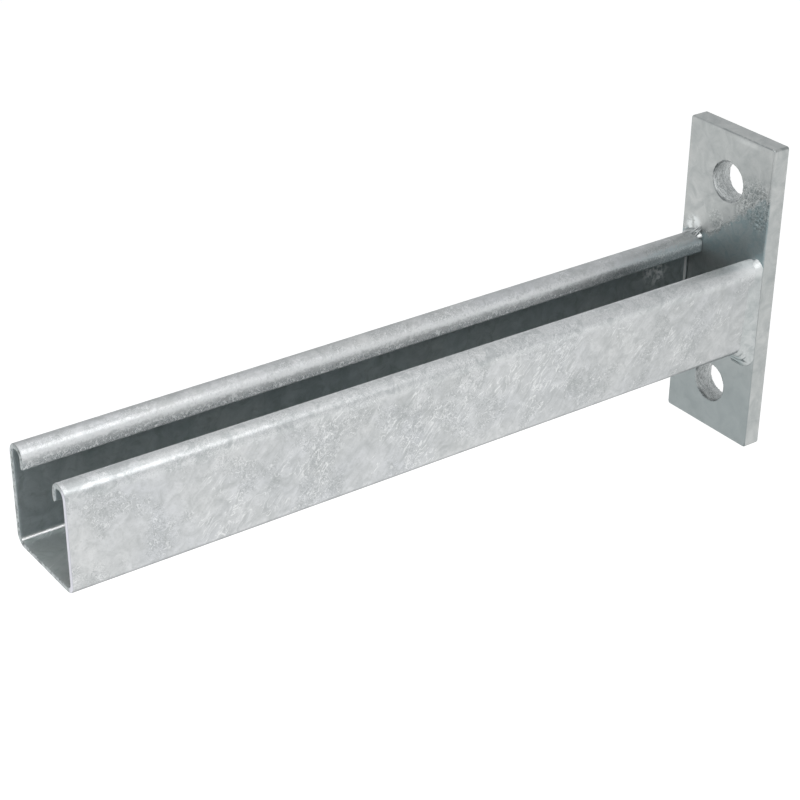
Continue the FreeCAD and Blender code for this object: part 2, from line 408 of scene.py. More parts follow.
def weld_bead(name, material, sizes, curls):
    """One bead: a fillet carried round the joint, with the curls of metal that its end leaves."""
    tree, size = shape_tree(name + "_shape", sizes)
    face_points = 26
    inset = add(tree, "ShaderNodeMath", {"operation": "SUBTRACT"}, {
        0: size["Half width"], 1: size["Bend radius"]})
    under_end = add(tree, "ShaderNodeMath", {"operation": "SUBTRACT"}, {0: inset, 1: size["Under length"]})
    slot_foot = add(tree, "ShaderNodeMath", {"operation": "SUBTRACT"}, {
        0: size["Top"], 1: size["Bend radius"]})
    corners = [
        (size["Half slot"], slot_foot), (size["Half slot"], size["Top"]), (size["Half width"], size["Top"]),
        (size["Half width"], size["Bottom"]), (under_end, size["Bottom"]),
    ]
    bent = bent_line(tree, corners, size["Bend radius"], 12)
    whole = add(tree, "GeometryNodeCurveLength", None, {"Curve": bent})
    trimmed = add(tree, "GeometryNodeTrimCurve", {"mode": "LENGTH"}, {
        "Curve": bent, "Start": size["Start"], "End": whole})
    line = add(tree, "GeometryNodeResampleCurve", {"mode": "LENGTH"}, {
        "Curve": trimmed, "Length": size["Mesh step"]})
    length_so_far = add(tree, "GeometryNodeSplineParameter").outputs["Length"]
    whole_length = add(tree, "GeometryNodeSplineLength").outputs["Length"]
    left = add(tree, "ShaderNodeMath", {"operation": "SUBTRACT"}, {0: whole_length, 1: length_so_far})
    from_end = add(tree, "ShaderNodeMath", {"operation": "MINIMUM"}, {0: length_so_far, 1: left})
    square = add(tree, "ShaderNodeVectorMath", {"operation": "CROSS_PRODUCT"}, {
        0: (1.0, 0.0, 0.0), 1: add(tree, "GeometryNodeInputTangent")})
    path = captured(tree, line, {
        "Joint": ("VECTOR", add(tree, "GeometryNodeInputPosition").outputs[0]),
        "Outward": ("VECTOR", square.outputs[0]),
        "From end": ("FLOAT", from_end.outputs[0]),
        "So far": ("FLOAT", length_so_far),
    })
    index = add(tree, "GeometryNodeInputIndex")
    face_share = add(tree, "ShaderNodeMath", {"operation": "DIVIDE"}, {0: index, 1: face_points - 1.0})
    past_face = add(tree, "ShaderNodeMath", {"operation": "SUBTRACT"}, {0: index, 1: face_points - 1.0})
    row = add(tree, "GeometryNodeMeshLine", None, {"Count": face_points + 3})
    section = add(tree, "GeometryNodeMeshToCurve", None, {"Mesh": row})
    closed = add(tree, "GeometryNodeSetSplineCyclic", None, {"Geometry": section, "Cyclic": True})
    profile = captured(tree, closed, {
        "Face share": ("FLOAT", face_share.outputs[0]), "Past face": ("FLOAT", past_face.outputs[0])})
    swept = add(tree, "GeometryNodeCurveToMesh", None, {
        "Curve": path.outputs["Geometry"], "Profile Curve": profile.outputs["Geometry"], "Fill Caps": True})

    outward = path.outputs["Outward"]
    down_share = add(tree, "ShaderNodeSeparateXYZ", None, {0: outward})
    under = add(tree, "ShaderNodeMapRange", None, {
        "Value": down_share.outputs["Z"], "From Min": -0.2, "From Max": -1.0})
    leg_on_plate = add(tree, "ShaderNodeMix", None, {
        "Factor": under, "A": size["Leg on plate"], "B": size["Leg under"]})
    share = profile.outputs["Face share"]
    rest = add(tree, "ShaderNodeMath", {"operation": "SUBTRACT"}, {0: 1.0, 1: share})
    up_plate = product(tree, leg_on_plate, share)
    out_channel = product(tree, size["Leg on channel"], rest)
    chord = add(tree, "ShaderNodeCombineXYZ", None, {"X": up_plate, "Y": out_channel})
    legs = add(tree, "ShaderNodeCombineXYZ", None, {"X": size["Leg on channel"], "Y": leg_on_plate})
    face_normal = add(tree, "ShaderNodeVectorMath", {"operation": "NORMALIZE"}, {0: legs})
    # Four times the product of the two shares is one at the middle of the face, and nothing at its toes
    arch = product(tree, share, rest)
    crown = product(tree, arch, size["Crown"])
    crown_rise = product(tree, crown, 4.0)
    ripple = add(tree, "ShaderNodeTexNoise", {"noise_dimensions": "4D"}, {
        "Vector": path.outputs["Joint"], "W": share, "Scale": 1.0 / LUMP_LENGTH, "Detail": 2.0})
    lump = add(tree, "ShaderNodeMapRange", None, {"Value": ripple, "To Min": -0.5, "To Max": 0.5})
    lump_rise = product(tree, lump, size["Lumps"])
    rise = add(tree, "ShaderNodeMath", {"operation": "ADD"}, {0: crown_rise, 1: lump_rise})
    for groove_at in GROOVE_PLACES:
        off_groove = add(tree, "ShaderNodeMath", {"operation": "SUBTRACT"}, {0: share, 1: groove_at})
        distance = add(tree, "ShaderNodeMath", {"operation": "ABSOLUTE"}, {0: off_groove})
        groove = band(tree, distance, 0.0, GROOVE_REACH, 1.0, 0.0)
        groove_under = product(tree, groove, under)
        cut = product(tree, groove_under, size["Groove depth"])
        rise = add(tree, "ShaderNodeMath", {"operation": "SUBTRACT"}, {0: rise, 1: cut})
    raised = add(tree, "ShaderNodeVectorMath", {"operation": "SCALE"}, {0: face_normal, "Scale": rise})
    on_face = add(tree, "ShaderNodeVectorMath", {"operation": "ADD"}, {0: chord, 1: raised})
    sunk = product(tree, size["Sink"], -1.0)
    past = add(tree, "ShaderNodeMath", {"operation": "MAXIMUM"}, {0: profile.outputs["Past face"], 1: 0.0})
    in_section = add(tree, "GeometryNodeIndexSwitch", {"data_type": "VECTOR"}, {"Index": past})
    root_corners = [(leg_on_plate, sunk), (sunk, sunk), (sunk, size["Leg on channel"])]
    while len(in_section.index_switch_items) < 1 + len(root_corners):
        in_section.index_switch_items.new()
    tree.links.new(on_face.outputs[0], in_section.inputs[1])
    for number, (up, out) in enumerate(root_corners):
        root = add(tree, "ShaderNodeCombineXYZ", None, {"X": up, "Y": out})
        tree.links.new(root.outputs[0], in_section.inputs[number + 2])

    end_gap = add(tree, "ShaderNodeMapRange", None, {
        "Value": path.outputs["From end"], "From Max": size["End length"], "To Min": 1.0, "To Max": 0.0})
    # The ends close as a quarter circle that stops just short of a point
    gap_square = add(tree, "ShaderNodeMath", {"operation": "POWER"}, {0: end_gap, 1: 2.0})
    full = add(tree, "ShaderNodeMath", {"operation": "SUBTRACT"}, {0: 1.01, 1: gap_square})
    round_end = add(tree, "ShaderNodeMath", {"operation": "SQRT"}, {0: full})
    slim = band(tree, path.outputs["So far"], size["Slim until"], size["Full from"], size["Slimming"], 1.0)
    taper = product(tree, round_end, slim)
    tapered = add(tree, "ShaderNodeVectorMath", {"operation": "SCALE"}, {0: in_section, "Scale": taper})
    parts = add(tree, "ShaderNodeSeparateXYZ", None, {0: tapered})
    up_place = add(tree, "ShaderNodeVectorMath", {"operation": "SCALE"}, {
        0: outward, "Scale": parts.outputs["X"]})
    along_arm = add(tree, "ShaderNodeMath", {"operation": "ADD"}, {
        0: parts.outputs["Y"], 1: size["Plate face"]})
    out_place = add(tree, "ShaderNodeCombineXYZ", None, {"X": along_arm})
    from_joint = add(tree, "ShaderNodeVectorMath", {"operation": "ADD"}, {0: up_place, 1: out_place})
    true_place = add(tree, "ShaderNodeVectorMath", {"operation": "ADD"}, {
        0: path.outputs["Joint"], 1: from_joint})
    leaning = near_wall_lean(tree, true_place, size)
    leaned = add(tree, "ShaderNodeVectorMath", {"operation": "ADD"}, {0: true_place, 1: leaning})
    limit = add(tree, "ShaderNodeCombineXYZ", None, {"X": 1.0, "Y": size["Furthest out"], "Z": 1.0})
    kept = add(tree, "ShaderNodeVectorMath", {"operation": "MINIMUM"}, {0: leaned, 1: limit})
    bead = add(tree, "GeometryNodeSetPosition", None, {"Geometry": swept, "Position": kept})
    side = add(tree, "ShaderNodeCombineXYZ", None, {"X": 1.0, "Y": size["Side"], "Z": 1.0})
    mirrored = add(tree, "GeometryNodeTransform", None, {"Geometry": bead, "Scale": side})
    unmirrored = add(tree, "FunctionNodeCompare", {"operation": "GREATER_THAN"}, {
        "A": size["Side"], "B": 0.0})
    bead = add(tree, "GeometryNodeFlipFaces", None, {"Mesh": mirrored, "Selection": unmirrored})
    pieces = [bead] + [curl(tree, start, end, radius) for start, end, radius in curls]
    finish_tree(tree, add(tree, "GeometryNodeJoinGeometry", None, {"Geometry": pieces}), [(material, None)])
    return plain_mesh(name, tree, sizes)


def curl(tree, start, end, radius):
    """A short run of metal that thins to both ends."""
    line = add(tree, "GeometryNodeCurvePrimitiveLine", None, {"Start": start, "End": end})
    fine = add(tree, "GeometryNodeResampleCurve", {"mode": "COUNT"}, {"Curve": line, "Count": 16})
    share = add(tree, "GeometryNodeSplineParameter").outputs["Factor"]
    centred = add(tree, "ShaderNodeMapRange", None, {"Value": share, "To Min": -1.0, "To Max": 1.0})
    gap_square = add(tree, "ShaderNodeMath", {"operation": "POWER"}, {0: centred, 1: 2.0})
    full = add(tree, "ShaderNodeMath", {"operation": "SUBTRACT"}, {0: 1.02, 1: gap_square})
    thickness = add(tree, "ShaderNodeMath", {"operation": "SQRT"}, {0: full})
    ring = add(tree, "GeometryNodeCurvePrimitiveCircle", None, {"Resolution": 14, "Radius": radius})
    return add(tree, "GeometryNodeCurveToMesh", None, {
        "Curve": fine, "Profile Curve": ring, "Scale": thickness, "Fill Caps": True})


# The plate's skin: how fine its mesh is, and how coarse its waves, ridges, crackle and torn walls are
PLATE_SKIN_CELL = 0.44 * MM
PLATE_WAVE_LENGTH = 11.0 * MM
RIDGE_WANDER_LENGTH = 1.6 * MM
RIDGE_WANDER = 0.5 * MM
CRACKLE_CELL = 1.5 * MM
CRACKLE_CORE = 0.35
TORN_LENGTH = 1.5 * MM

PLATE_SIZES = {
    "Upper hole": upper_hole,
    "Lower hole": lower_hole,
    "Hole reach": hole_front_radius + 0.6 * MM,
    "Zinc wave": 0.06 * MM,
    "Torn wall": 0.28 * MM,
    "Ridge height": 0.22 * MM,
    "Ridge width": 0.9 * MM,
    "Crackle height": 0.16 * MM,
    "Seed": SEED,
}

# Lines of zinc that ran together on the plate's face, as (y, z) corners in millimetres
ZINC_RIDGES = [
    [(-5.5, 32.2), (-5.0, 30.6), (-4.0, 29.3), (-2.6, 28.2), (-1.2, 25.9)],
    [(-9.3, 19.8), (-6.5, 21.3), (-4.2, 22.9), (-1.1, 24.6)],
    [(-19.7, 21.8), (-17.0, 21.4), (-15.4, 20.3)],
    [(-6.0, 64.6), (4.0, 64.5), (14.0, 64.4), (19.5, 64.3)],
]
# Where the zinc froze in a crackled patch on the plate's face: centre (y, z) and reach in millimetres
CRACKLED_PATCHES = [((11.0, 42.0), 6.5), ((19.5, 34.0), 5.5), ((18.5, 46.5), 4.5), ((6.5, 37.0), 4.0)]


def back_plate(material):
    """The flat bar: the frame's solid with a fine skin that zinc waves, ridges and torn hole walls lift."""
    tree, size = shape_tree("dipped_plate", PLATE_SIZES, base=True)
    place = add(tree, "GeometryNodeInputPosition")
    normal = add(tree, "GeometryNodeInputNormal")
    apart = add(tree, "ShaderNodeSeparateXYZ", None, {0: place})
    facing = add(tree, "ShaderNodeSeparateXYZ", None, {0: normal})
    on_front = add(tree, "ShaderNodeMapRange", None, {
        "Value": facing.outputs["X"], "From Min": 0.5, "From Max": 0.9})

    wave = add(tree, "ShaderNodeTexNoise", {"noise_dimensions": "4D"}, {
        "Vector": place, "W": size["Seed"], "Scale": 1.0 / PLATE_WAVE_LENGTH, "Detail": 2.0})
    swell = add(tree, "ShaderNodeMapRange", None, {"Value": wave, "To Min": -1.0, "To Max": 0.0})
    rise = product(tree, swell, size["Zinc wave"])

    ridge_lines = []
    for corners in ZINC_RIDGES:
        for (y0, z0), (y1, z1) in zip(corners, corners[1:]):
            ridge_lines.append(add(tree, "GeometryNodeCurvePrimitiveLine", None, {
                "Start": (plate_face, y0 * MM, z0 * MM), "End": (plate_face, y1 * MM, z1 * MM)}))
    lines = add(tree, "GeometryNodeJoinGeometry", None, {"Geometry": ridge_lines})
    edges = add(tree, "GeometryNodeCurveToMesh", None, {"Curve": lines})
    near_ridge = add(tree, "GeometryNodeProximity", {"target_element": "EDGES"}, {"Geometry": edges})
    ragged = add(tree, "ShaderNodeTexNoise", {"noise_dimensions": "4D"}, {
        "Vector": place, "W": size["Seed"], "Scale": 1.0 / RIDGE_WANDER_LENGTH, "Detail": 1.0})
    wander = add(tree, "ShaderNodeMapRange", None, {
        "Value": ragged, "To Min": -RIDGE_WANDER, "To Max": RIDGE_WANDER})
    ridge_distance = add(tree, "ShaderNodeMath", {"operation": "ADD"}, {
        0: near_ridge.outputs["Distance"], 1: wander})
    ridge_shape = band(tree, ridge_distance, 0.0, size["Ridge width"], 1.0, 0.0)
    broken = band(tree, ragged, 0.4, 0.6)
    ridge_parts = product(tree, ridge_shape, broken)
    ridge = product(tree, ridge_parts, size["Ridge height"])

    crackle = add(tree, "ShaderNodeTexVoronoi", {"feature": "DISTANCE_TO_EDGE"}, {
        "Vector": place, "Scale": 1.0 / CRACKLE_CELL, "Randomness": 1.0})
    cell = band(tree, crackle, 0.0, 0.22, -1.0, 0.5)
    patch = None
    for (y, z), reach in CRACKLED_PATCHES:
        middle = (plate_face, y * MM, z * MM)
        inside_patch = around(tree, place, middle, CRACKLE_CORE * reach * MM, reach * MM)
        patch = inside_patch if patch is None else add(tree, "ShaderNodeMath", {"operation": "MAXIMUM"}, {
            0: patch, 1: inside_patch})
    crackled = product(tree, patch, cell)
    crackle_rise = product(tree, crackled, size["Crackle height"])
    front_relief = add(tree, "ShaderNodeMath", {"operation": "ADD"}, {0: ridge, 1: crackle_rise})
    front_rise = product(tree, front_relief, on_front)
    rise = add(tree, "ShaderNodeMath", {"operation": "ADD"}, {0: rise, 1: front_rise})

    torn_scale = add(tree, "ShaderNodeVectorMath", {"operation": "MULTIPLY"}, {
        0: place, 1: (1.5, 0.35, 0.35)})
    torn = add(tree, "ShaderNodeTexNoise", {"noise_dimensions": "4D"}, {
        "Vector": torn_scale, "W": size["Seed"], "Scale": 1.0 / TORN_LENGTH, "Detail": 3.0})
    torn_depth = add(tree, "ShaderNodeMapRange", None, {"Value": torn, "To Min": -1.0, "To Max": 1.0})
    torn_rise = product(tree, torn_depth, size["Torn wall"])
    for hole in ("Upper hole", "Lower hole"):
        axis = add(tree, "ShaderNodeCombineXYZ", None, {"X": apart.outputs["X"], "Z": size[hole]})
        in_hole = around(tree, place, axis, hole_front_radius, size["Hole reach"])
        wall_rise = product(tree, torn_rise, in_hole)
        rise = add(tree, "ShaderNodeMath", {"operation": "ADD"}, {0: rise, 1: wall_rise})
    lift = add(tree, "ShaderNodeVectorMath", {"operation": "SCALE"}, {0: normal, "Scale": rise})
    lifted = add(tree, "ShaderNodeVectorMath", {"operation": "ADD"}, {0: place, 1: lift})
    highest = (plate_high.x + 1.0 * MM, plate_high.y, plate_high.z)
    below = add(tree, "ShaderNodeVectorMath", {"operation": "MINIMUM"}, {0: lifted, 1: highest})
    inside_box = add(tree, "ShaderNodeVectorMath", {"operation": "MAXIMUM"}, {
        0: below, 1: tuple(plate_low)})
    sides = add(tree, "ShaderNodeVectorMath", {"operation": "ABSOLUTE"}, {0: normal})
    shares = add(tree, "ShaderNodeVectorMath", {"operation": "DOT_PRODUCT"}, {0: sides, 1: (1.0, 1.0, 1.0)})
    marked = add(tree, "GeometryNodeStoreNamedAttribute", {"data_type": "FLOAT", "domain": "POINT"}, {
        "Geometry": size["Base"], "Name": "edge_round", "Value": shares.outputs["Value"]})
    mesh = add(tree, "GeometryNodeSetPosition", None, {"Geometry": marked, "Position": inside_box})
    finish_tree(tree, mesh, [(material, None)])
    return plain_mesh("galvanised_plate", tree, PLATE_SIZES, even_skin("back_plate", PLATE_SKIN_CELL))


def even_skin(node, cell):
    """A copy of a frame node's solid, merged and remeshed to even small faces."""
    merged = bmesh.new()
    merged.from_mesh(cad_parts[node].data)
    bmesh.ops.remove_doubles(merged, verts=merged.verts, dist=1e-6)
    mesh = bpy.data.meshes.new(node + "_copy")
    merged.to_mesh(mesh)
    merged.free()
    holder = bpy.data.objects.new(node + "_copy", mesh)
    bpy.context.scene.collection.objects.link(holder)
    remesh = holder.modifiers.new("even", "REMESH")
    remesh.mode = "VOXEL"
    remesh.voxel_size = cell
    remesh.use_smooth_shade = True
    graph = bpy.context.evaluated_depsgraph_get()
    graph.update()
    skin = bpy.data.meshes.new_from_object(holder.evaluated_get(graph))
    bpy.data.objects.remove(holder)
    return skin


def thin_lines(tree, noise, width):
    """One on the thin lines where a noise crosses its middle value, and nothing away from them."""
    off_middle = add(tree, "ShaderNodeMath", {"operation": "SUBTRACT"}, {0: noise, 1: 0.5})
    distance = add(tree, "ShaderNodeMath", {"operation": "ABSOLUTE"}, {0: off_middle})
    return band(tree, distance, 0.0, width, 1.0, 0.0)


def zinc(name, look, marks=None):
    """Hot-dip zinc: tints in clouds, a finer mottle, dark speckle, and a skin that is never quite flat."""
    material = bpy.data.materials.new(name)
    material.use_nodes = True
    tree = material.node_tree
    tree.nodes.clear()
    place = add(tree, "ShaderNodeTexCoord").outputs["Object"]
    in_mm = add(tree, "ShaderNodeVectorMath", {"operation": "SCALE"}, {0: place, "Scale": 1.0 / MM})
    clouds = add(tree, "ShaderNodeTexNoise", None, {
        "Vector": in_mm, "Scale": 1.0 / look["cloud_mm"],
        "Detail": 3.0, "Roughness": 0.55, "Distortion": 0.4})
    mottle = add(tree, "ShaderNodeTexNoise", None, {
        "Vector": in_mm, "Scale": 1.0 / look["mottle_mm"],
        "Detail": 5.0, "Roughness": 0.62, "Distortion": 0.8})
    grain = add(tree, "ShaderNodeTexNoise", None, {
        "Vector": in_mm, "Scale": 1.0 / look["speckle_mm"], "Detail": 2.0, "Roughness": 0.6})
    cloud_share = add(tree, "ShaderNodeMapRange", None, {
        "Value": clouds, "From Min": 0.32, "From Max": 0.68})
    tint = add(tree, "ShaderNodeMix", {"data_type": "RGBA"}, {
        "Factor": cloud_share, "A": linear(look["pale"]), "B": linear(look["cool"])})
    mottle_share = add(tree, "ShaderNodeMapRange", None, {
        "Value": mottle, "From Min": 0.36, "From Max": 0.7, "To Min": 0.0, "To Max": 0.75})
    tone = stained(tree, tint, look["dark"], mottle_share)
    pits = add(tree, "ShaderNodeMapRange", None, {
        "Value": grain, "From Min": 0.5, "From Max": 0.75, "To Min": 0.0, "To Max": look["speckle"]})
    colour = stained(tree, tone, look["dark"], pits)
    dullness = add(tree, "ShaderNodeMapRange", None, {
        "Value": mottle, "From Min": 0.3, "From Max": 0.7,
        "To Min": look["roughness"] - 0.06, "To Max": look["roughness"] + 0.08})
    height = add(tree, "ShaderNodeMath", {"operation": "MULTIPLY_ADD"}, {0: grain, 1: 0.25, 2: mottle})
    relief = add(tree, "ShaderNodeBump", None, {
        "Strength": 1.0, "Distance": look["relief_mm"] * MM, "Height": height})
    metallic = look["metallic"]
    if marks:
        colour, metallic = marks(tree, in_mm, colour, metallic)
    metal = add(tree, "ShaderNodeBsdfPrincipled", None, {
        "Base Color": colour, "Metallic": metallic, "Roughness": dullness, "Normal": relief})
    add(tree, "ShaderNodeOutputMaterial", None, {"Surface": metal})
    return material


# In the marks below every place, height and reach is in millimetres in the arm's own frame, a noise's
# limits are its own values, and the last number of a stain is how strong it is at most.
PALE_PATCH = (26.0, -18.5, 4.0)
CRACKLE_BY_HOLE = (8.0, 16.0, 41.0)
CRACKLE_ON_SEAM = (8.0, -4.0, 27.0)
SPATTER = (8.0, -17.0, 20.5)
# How far the painted highlight along each inside fold lies in from the corner of the channel's inside, and
# up from it
FOLD_HIGHLIGHT_IN = 1.07
FOLD_HIGHLIGHT_UP = 0.45
# The gaps between the near bead's runs, painted dark as shade: height, and where each starts and ends across
# the arm
RUN_GAPS = ((-28.6, 10.0, 16.5), (-26.4, 14.6, 20.6))


def strut_marks(tree, in_mm, colour, metallic):
    """Marks of the dip on the strut: pale runs, crackle, frost by the free end that is partly a painted
    sheen, greyer towards the plate, painted shade underneath and on the far shoulder's back edge, and
    painted light on the near shoulder.
    """
    apart = add(tree, "ShaderNodeSeparateXYZ", None, {0: in_mm})
    x, y, z = apart.outputs["X"], apart.outputs["Y"], apart.outputs["Z"]

    # Zinc drained down towards the free end while the arm hung at a slant, in runs about 3 mm apart
    along_run = add(tree, "ShaderNodeMapping", {"vector_type": "TEXTURE"}, {
        "Vector": in_mm, "Rotation": (0.0, math.radians(49.5), 0.0), "Scale": (3.6, 1.0, 1.0)})
    run_noise = add(tree, "ShaderNodeTexNoise", None, {
        "Vector": along_run, "Scale": 1.0 / 3.0, "Detail": 2.0, "Roughness": 0.5, "Distortion": 1.5})
    run_places = add(tree, "ShaderNodeTexNoise", None, {
        "Vector": in_mm, "Scale": 1.0 / 13.0, "Detail": 2.0})
    run_patch = product(tree, band(tree, run_places, 0.46, 0.6), band(tree, x, 292.0, 262.0))
    colour = stained(tree, colour, "#e9eaea", thin_lines(tree, run_noise, 0.03), run_patch, 0.8)
    soft_run = band(tree, run_noise, 0.42, 0.7)
    colour = stained(tree, colour, "#a4a8a9", soft_run, band(tree, x, 292.0, 250.0), 0.24)

    crackle_noise = add(tree, "ShaderNodeTexNoise", None, {
        "Vector": in_mm, "Scale": 1.0 / 1.5, "Detail": 3.0, "Roughness": 0.6, "Distortion": 1.4})
    crackle_places = add(tree, "ShaderNodeTexNoise", None, {
        "Vector": in_mm, "Scale": 1.0 / 17.0, "Detail": 3.0, "Roughness": 0.6})
    crackle_patch = band(tree, crackle_places, 0.47, 0.58)
    dark_crackle = thin_lines(tree, crackle_noise, 0.05)
    colour = stained(tree, colour, "#878c8d", dark_crackle, crackle_patch, 0.5)
    pale_crackle = band(tree, crackle_noise, 0.56, 0.66)
    colour = stained(tree, colour, "#eceded", pale_crackle, crackle_patch, 0.45)
    # Greyer towards the plate
    towards_plate = band(tree, x, 130.0, 0.0)
    colour = stained(tree, colour, "#9fa2a2", towards_plate, 0.33)
    # Painted shade: the outside of the bottom bend darkened underneath
    under = band(tree, z, -19.8, -21.6)
    colour = stained(tree, colour, "#75797b", under, 0.8)

    near_shoulder = product(tree, band(tree, y, 12.0, 15.0), band(tree, z, 11.5, 14.0))
    # Painted light: the near shoulder lightened as if more light fell on it below its highlight
    colour = stained(tree, colour, "#eceeee", near_shoulder, 0.35)
    shoulder_places = add(tree, "ShaderNodeTexNoise", None, {
        "Vector": in_mm, "Scale": 1.0 / 6.0, "Detail": 4.0, "Roughness": 0.65, "Distortion": 1.0})
    dull_spots = band(tree, shoulder_places, 0.5, 0.6)
    colour = stained(tree, colour, "#a9aeaf", near_shoulder, dull_spots, 0.4)
    shoulder_grain = thin_lines(tree, crackle_noise, 0.07)
    colour = stained(tree, colour, "#a3a8a9", near_shoulder, shoulder_grain, 0.35)

    on_far_side = band(tree, y, -9.0, -11.5)
    # Painted shade: the far shoulder's back edge darkened where it turns away from the light
    rear_edge_shade = product(tree, on_far_side, band(tree, y, -15.4, -17.2), band(tree, z, 15.0, 16.6))
    colour = stained(tree, colour, "#7e8283", rear_edge_shade, 0.32)
    on_far_shoulder = product(tree, on_far_side, band(tree, z, 6.0, 9.0))
    ragged = add(tree, "ShaderNodeMath", {"operation": "MULTIPLY_ADD"}, {0: crackle_noise, 1: 6.0, 2: z})
    frost_share = band(tree, crackle_noise, 0.36, 0.56, 0.55, 1.0)
    frost_reach = product(tree, band(tree, x, 10.0, 115.0), band(tree, ragged, 20.2, 17.6))
    frost = product(tree, on_far_shoulder, frost_reach, frost_share)
    # The far shoulder's frost is chalky zinc, whitened further into a painted sheen that stands in for the
    # bright band of light along it
    colour = stained(tree, colour, "#f8fafa", frost, 0.95)
    teal = product(tree, on_far_shoulder, band(tree, x, 70.0, 20.0), band(tree, ragged, 19.6, 18.0))
    colour = stained(tree, colour, "#aebabd", teal, 0.8)
    low_edge = product(tree, on_far_shoulder, band(tree, ragged, 17.5, 14.5))
    colour = stained(tree, colour, "#66757a", low_edge, thin_lines(tree, crackle_noise, 0.09), 0.75)
    off_crest = add(tree, "ShaderNodeMath", {"operation": "SUBTRACT"}, {0: ragged, 1: 17.6})
    from_crest = add(tree, "ShaderNodeMath", {"operation": "ABSOLUTE"}, {0: off_crest})
    crest = product(tree, on_far_shoulder, band(tree, from_crest, 0.4, 1.1, 1.0, 0.0))
    crest_parts = product(tree, band(tree, x, 170.0, 110.0), band(tree, crackle_noise, 0.46, 0.58))
    colour = stained(tree, colour, "#eef2f2", crest, crest_parts, 0.6)
    by_plate = product(
        tree, band(tree, x, 26.0, 11.0), band(tree, z, 13.0, 16.0), band(tree, y, 13.0, 16.5),
        band(tree, crackle_noise, 0.34, 0.5, 0.6, 1.0))
    colour = stained(tree, colour, "#e6e9e9", by_plate, 0.8)
    chalky = add(tree, "ShaderNodeMath", {"operation": "MAXIMUM"}, {
        0: product(tree, frost, 0.92), 1: product(tree, by_plate, 0.7)})
    chalky = add(tree, "ShaderNodeMath", {"operation": "MAXIMUM"}, {0: chalky, 1: product(tree, teal, 0.7)})
    bare = add(tree, "ShaderNodeMath", {"operation": "SUBTRACT"}, {0: 1.0, 1: chalky})
    return colour, product(tree, bare, metallic)


def inside_marks(tree, in_mm, colour, metallic):
    """Painted highlights in thin bright lines along both folds, zinc that pooled in a bright line at the
    plate, and a pale patch.
    """
    apart = add(tree, "ShaderNodeSeparateXYZ", None, {0: in_mm})
    x = apart.outputs["X"]
    side = add(tree, "ShaderNodeMath", {"operation": "ABSOLUTE"}, {0: apart.outputs["Y"]})
    across = add(tree, "ShaderNodeCombineXYZ", None, {"Y": side, "Z": apart.outputs["Z"]})
    fold_highlight_middle = (0.0, (half_width - sheet) / MM - FOLD_HIGHLIGHT_IN, (channel_bottom + sheet) / MM + FOLD_HIGHLIGHT_UP)
    line = around(tree, across, fold_highlight_middle, 0.2, 0.5)
    smear_place = add(tree, "ShaderNodeMapping", {"vector_type": "TEXTURE"}, {
        "Vector": in_mm, "Rotation": (0.0, 0.0, math.radians(35.0)), "Scale": (5.0, 1.0, 1.0)})
    smear_noise = add(tree, "ShaderNodeTexNoise", None, {
        "Vector": smear_place, "Scale": 1.0 / 3.5, "Detail": 4.0, "Roughness": 0.6, "Distortion": 1.0})
    on_floor = band(tree, apart.outputs["Z"], -19.0, -20.5)
    colour = stained(tree, colour, "#a9a8a2", on_floor, 0.55)
    colour = stained(tree, colour, "#dfe1e0", on_floor, band(tree, smear_noise, 0.55, 0.72), 0.6)
    stain_noise = add(tree, "ShaderNodeTexNoise", None, {
        "Vector": in_mm, "Scale": 1.0 / 7.0, "Detail": 5.0, "Roughness": 0.65, "Distortion": 1.2})
    colour = stained(tree, colour, "#88918f", band(tree, stain_noise, 0.48, 0.68), 0.4)
    # Painted highlight: the thin white line along each inside fold
    colour = stained(tree, colour, "#ffffff", line, 0.9)
    at_joint = product(tree, band(tree, x, 8.5, 9.0), band(tree, x, 10.3, 9.8), 0.8)
    colour = stained(tree, colour, "#ffffff", at_joint)
    specks = add(tree, "ShaderNodeTexNoise", None, {"Vector": in_mm, "Scale": 1.0 / 1.2, "Detail": 3.0})
    patch = product(tree, around(tree, in_mm, PALE_PATCH, 3.0, 9.0), band(tree, specks, 0.45, 0.6))
    colour = stained(tree, colour, "#f0f2f2", patch, 0.8)
    chalky = add(tree, "ShaderNodeMath", {"operation": "MAXIMUM"}, {0: patch, 1: at_joint})
    bare = add(tree, "ShaderNodeMath", {"operation": "MULTIPLY_ADD"}, {0: chalky, 1: -0.5, 2: 1.0})
    return colour, product(tree, bare, metallic)


